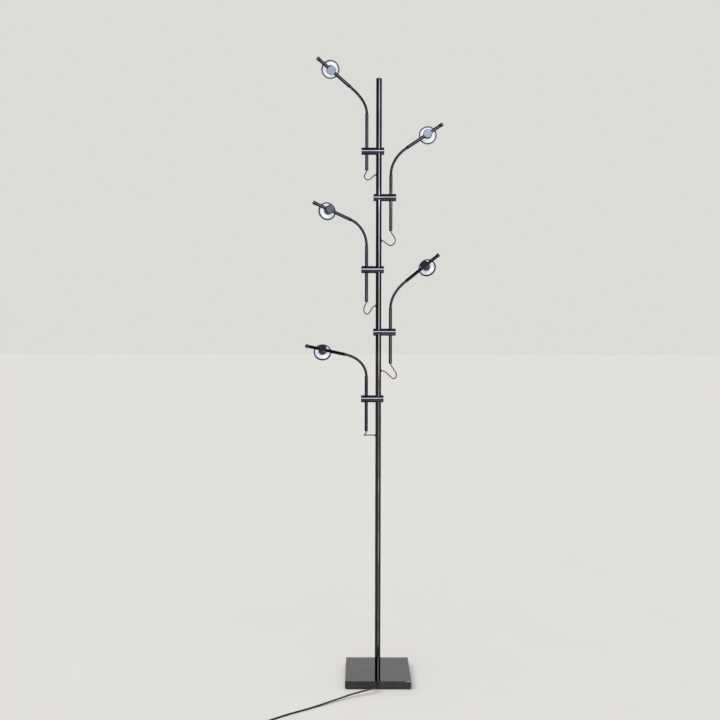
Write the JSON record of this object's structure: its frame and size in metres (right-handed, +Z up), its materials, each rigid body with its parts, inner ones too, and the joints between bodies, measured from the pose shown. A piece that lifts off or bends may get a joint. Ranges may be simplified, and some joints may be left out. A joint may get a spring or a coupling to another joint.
{
  "type": "sunset projection floor lamp",
  "caption": "Tall floor lamp: a polished pole on a square plate with clamped flexible arms, each carrying a small projector head with a coloured lens and a handle.",
  "frame": {"origin": "on the floor under the pole's axis, at the centre of the pad's underside", "axes": "+Z up the pole, +Y the way the heads shine, +X to the right seen from behind the lamp"},
  "size_m": [0.5654, 0.5685, 1.899],
  "materials": {
    "mirror_steel": "mirror polished",
    "polished_steel": "polished",
    "plain_steel": "machined",
    "neck_steel": "satin",
    "turned_aluminium": "turned and polished",
    "brass": "machined",
    "black_metal": "satin",
    "amber_glass": "coated",
    "red_glass": "coated",
    "lamp_board": "gloss",
    "pad_rubber": "matte",
    "black_rubber": "matte",
    "lead_sheath": "matte",
    "cord_sheath": "satin",
    "tie_plastic": "matte",
    "black_plastic": "fine grain",
    "grey_plastic": "satin"
  },
  "bodies": {
    "stand": {"base_plate": "mirror_steel", "base_pad": "pad_rubber", "pole": "polished_steel", "pole_cap": "polished_steel", "pole_stud": "plain_steel", "stud_nut": "brass", "lead_grommets": "black_rubber", "arm_leads": "lead_sheath", "cord_gland": "black_rubber", "mains_cord": "cord_sheath", "cord_coil": "cord_sheath", "cord_tie": "tie_plastic", "switch_body": "black_plastic", "power_supply": "black_plastic"},
    "button": {"switch_button": "grey_plastic"},
    "clamp_1": {"clamp_bar_1": "polished_steel"},
    "plug_1": {"arm_plug_1": "black_plastic"},
    "arm_1": {"arm_tube_1": "polished_steel"},
    "neck_1": {"gooseneck_1": "neck_steel"},
    "head_1": {"head_rod_1": "polished_steel", "head_barrel_1": "turned_aluminium", "led_module_1": "lamp_board", "lens_1": "amber_glass", "lens_ring_1": "black_metal"},
    "clamp_2": {"clamp_bar_2": "polished_steel"},
    "plug_2": {"arm_plug_2": "black_plastic"},
    "arm_2": {"arm_tube_2": "polished_steel"},
    "neck_2": {"gooseneck_2": "neck_steel"},
    "head_2": {"head_rod_2": "polished_steel", "head_barrel_2": "turned_aluminium", "led_module_2": "lamp_board", "lens_2": "amber_glass", "lens_ring_2": "black_metal"},
    "clamp_3": {"clamp_bar_3": "polished_steel"},
    "plug_3": {"arm_plug_3": "black_plastic"},
    "arm_3": {"arm_tube_3": "polished_steel"},
    "neck_3": {"gooseneck_3": "neck_steel"},
    "head_3": {"head_rod_3": "polished_steel", "head_barrel_3": "turned_aluminium", "led_module_3": "lamp_board", "lens_3": "amber_glass", "lens_ring_3": "black_metal"},
    "clamp_4": {"clamp_bar_4": "polished_steel"},
    "plug_4": {"arm_plug_4": "black_plastic"},
    "arm_4": {"arm_tube_4": "polished_steel"},
    "neck_4": {"gooseneck_4": "neck_steel"},
    "head_4": {"head_rod_4": "polished_steel", "head_barrel_4": "turned_aluminium", "led_module_4": "lamp_board", "lens_4": "red_glass", "lens_ring_4": "black_metal"},
    "clamp_5": {"clamp_bar_5": "polished_steel"},
    "plug_5": {"arm_plug_5": "black_plastic"},
    "arm_5": {"arm_tube_5": "polished_steel"},
    "neck_5": {"gooseneck_5": "neck_steel"},
    "head_5": {"head_rod_5": "polished_steel", "head_barrel_5": "turned_aluminium", "led_module_5": "lamp_board", "lens_5": "red_glass", "lens_ring_5": "black_metal"}
  },
  "joints": [
    {"name": "clamp_slide_1", "type": "slide", "parent": "stand", "child": "clamp_1", "axis": [0, 0, 1], "range_m": [-0.02, 0.02], "deforming": ["arm_leads"]},
    {"name": "arm_slide_1", "type": "slide", "parent": "clamp_1", "child": "plug_1", "axis": [0, 0, 1], "range_m": [-0.02, 0.02], "deforming": ["arm_leads"]},
    {"name": "arm_turn_1", "type": "hinge", "parent": "plug_1", "child": "arm_1", "pos_m": [-0.037, 0, 1.574], "axis": [0, 0, 1], "range_deg": [-120, 120]},
    {"name": "neck_bend_1", "type": "hinge", "parent": "arm_1", "child": "neck_1", "pos_m": [-0.05377, -0.00712, 1.78845], "axis": [0.3907, -0.9205, 0], "range_deg": [-25, 25], "deforming": ["gooseneck_1"]},
    {"name": "head_twist_1", "type": "hinge", "parent": "neck_1", "child": "head_1", "pos_m": [-0.14489, -0.0458, 1.86349], "axis": [-0.754, -0.3201, 0.5736], "range_deg": [-120, 120]},
    {"name": "clamp_slide_2", "type": "slide", "parent": "stand", "child": "clamp_2", "axis": [0, 0, 1], "range_m": [-0.02, 0.02], "deforming": ["arm_leads"]},
    {"name": "arm_slide_2", "type": "slide", "parent": "clamp_2", "child": "plug_2", "axis": [0, 0, 1], "range_m": [-0.02, 0.02], "deforming": ["arm_leads"]},
    {"name": "arm_turn_2", "type": "hinge", "parent": "plug_2", "child": "arm_2", "pos_m": [0.037, 0, 1.39], "axis": [0, 0, 1], "range_deg": [-120, 120]},
    {"name": "neck_bend_2", "type": "hinge", "parent": "arm_2", "child": "neck_2", "pos_m": [0.05095, -0.00097, 1.60631], "axis": [0.0698, 0.9976, 0], "range_deg": [-25, 25], "deforming": ["gooseneck_2"]},
    {"name": "head_twist_2", "type": "hinge", "parent": "neck_2", "child": "head_2", "pos_m": [0.14841, -0.00779, 1.68181], "axis": [0.8366, -0.0585, 0.5446], "range_deg": [-120, 120]},
    {"name": "clamp_slide_3", "type": "slide", "parent": "stand", "child": "clamp_3", "axis": [0, 0, 1], "range_m": [-0.02, 0.02], "deforming": ["arm_leads"]},
    {"name": "arm_slide_3", "type": "slide", "parent": "clamp_3", "child": "plug_3", "axis": [0, 0, 1], "range_m": [-0.02, 0.02], "deforming": ["arm_leads"]},
    {"name": "arm_turn_3", "type": "hinge", "parent": "plug_3", "child": "arm_3", "pos_m": [-0.037, 0, 1.172], "axis": [0, 0, 1], "range_deg": [-120, 120]},
    {"name": "neck_bend_3", "type": "hinge", "parent": "arm_3", "child": "neck_3", "pos_m": [-0.04944, -0.00404, 1.38859], "axis": [0.309, -0.9511, 0], "range_deg": [-25, 25], "deforming": ["gooseneck_3"]},
    {"name": "head_twist_3", "type": "hinge", "parent": "neck_3", "child": "head_3", "pos_m": [-0.15079, -0.03697, 1.44829], "axis": [-0.8818, -0.2865, 0.3746], "range_deg": [-120, 120]},
    {"name": "clamp_slide_4", "type": "slide", "parent": "stand", "child": "clamp_4", "axis": [0, 0, 1], "range_m": [-0.02, 0.02], "deforming": ["arm_leads"]},
    {"name": "arm_slide_4", "type": "slide", "parent": "clamp_4", "child": "plug_4", "axis": [0, 0, 1], "range_m": [-0.02, 0.02], "deforming": ["arm_leads"]},
    {"name": "arm_turn_4", "type": "hinge", "parent": "plug_4", "child": "arm_4", "pos_m": [0.037, 0, 0.982], "axis": [0, 0, 1], "range_deg": [-120, 120]},
    {"name": "neck_bend_4", "type": "hinge", "parent": "arm_4", "child": "neck_4", "pos_m": [0.05108, -0.00248, 1.19822], "axis": [0.1736, 0.9848, 0], "range_deg": [-25, 25], "deforming": ["gooseneck_4"]},
    {"name": "head_twist_4", "type": "hinge", "parent": "neck_4", "child": "head_4", "pos_m": [0.14182, -0.01848, 1.28108], "axis": [0.7707, -0.1359, 0.6225], "range_deg": [-120, 120]},
    {"name": "clamp_slide_5", "type": "slide", "parent": "stand", "child": "clamp_5", "axis": [0, 0, 1], "range_m": [-0.02, 0.02], "deforming": ["arm_leads"]},
    {"name": "arm_slide_5", "type": "slide", "parent": "clamp_5", "child": "plug_5", "axis": [0, 0, 1], "range_m": [-0.02, 0.02], "deforming": ["arm_leads"]},
    {"name": "arm_turn_5", "type": "hinge", "parent": "plug_5", "child": "arm_5", "pos_m": [-0.037, 0, 0.773], "axis": [0, 0, 1], "range_deg": [-120, 120]},
    {"name": "neck_bend_5", "type": "hinge", "parent": "arm_5", "child": "neck_5", "pos_m": [-0.05682, 0.00208, 0.98634], "axis": [-0.1045, -0.9945, 0], "range_deg": [-25, 25], "deforming": ["gooseneck_5"]},
    {"name": "head_twist_5", "type": "hinge", "parent": "neck_5", "child": "head_5", "pos_m": [-0.17325, 0.01432, 1.02379], "axis": [-0.9728, 0.1022, 0.2079], "range_deg": [-120, 120]},
    {"name": "switch_push", "type": "slide", "parent": "stand", "child": "button", "axis": [0, 0, -1], "range_m": [0, 0.0025], "stiffness_N_per_m": 800}
  ]
}
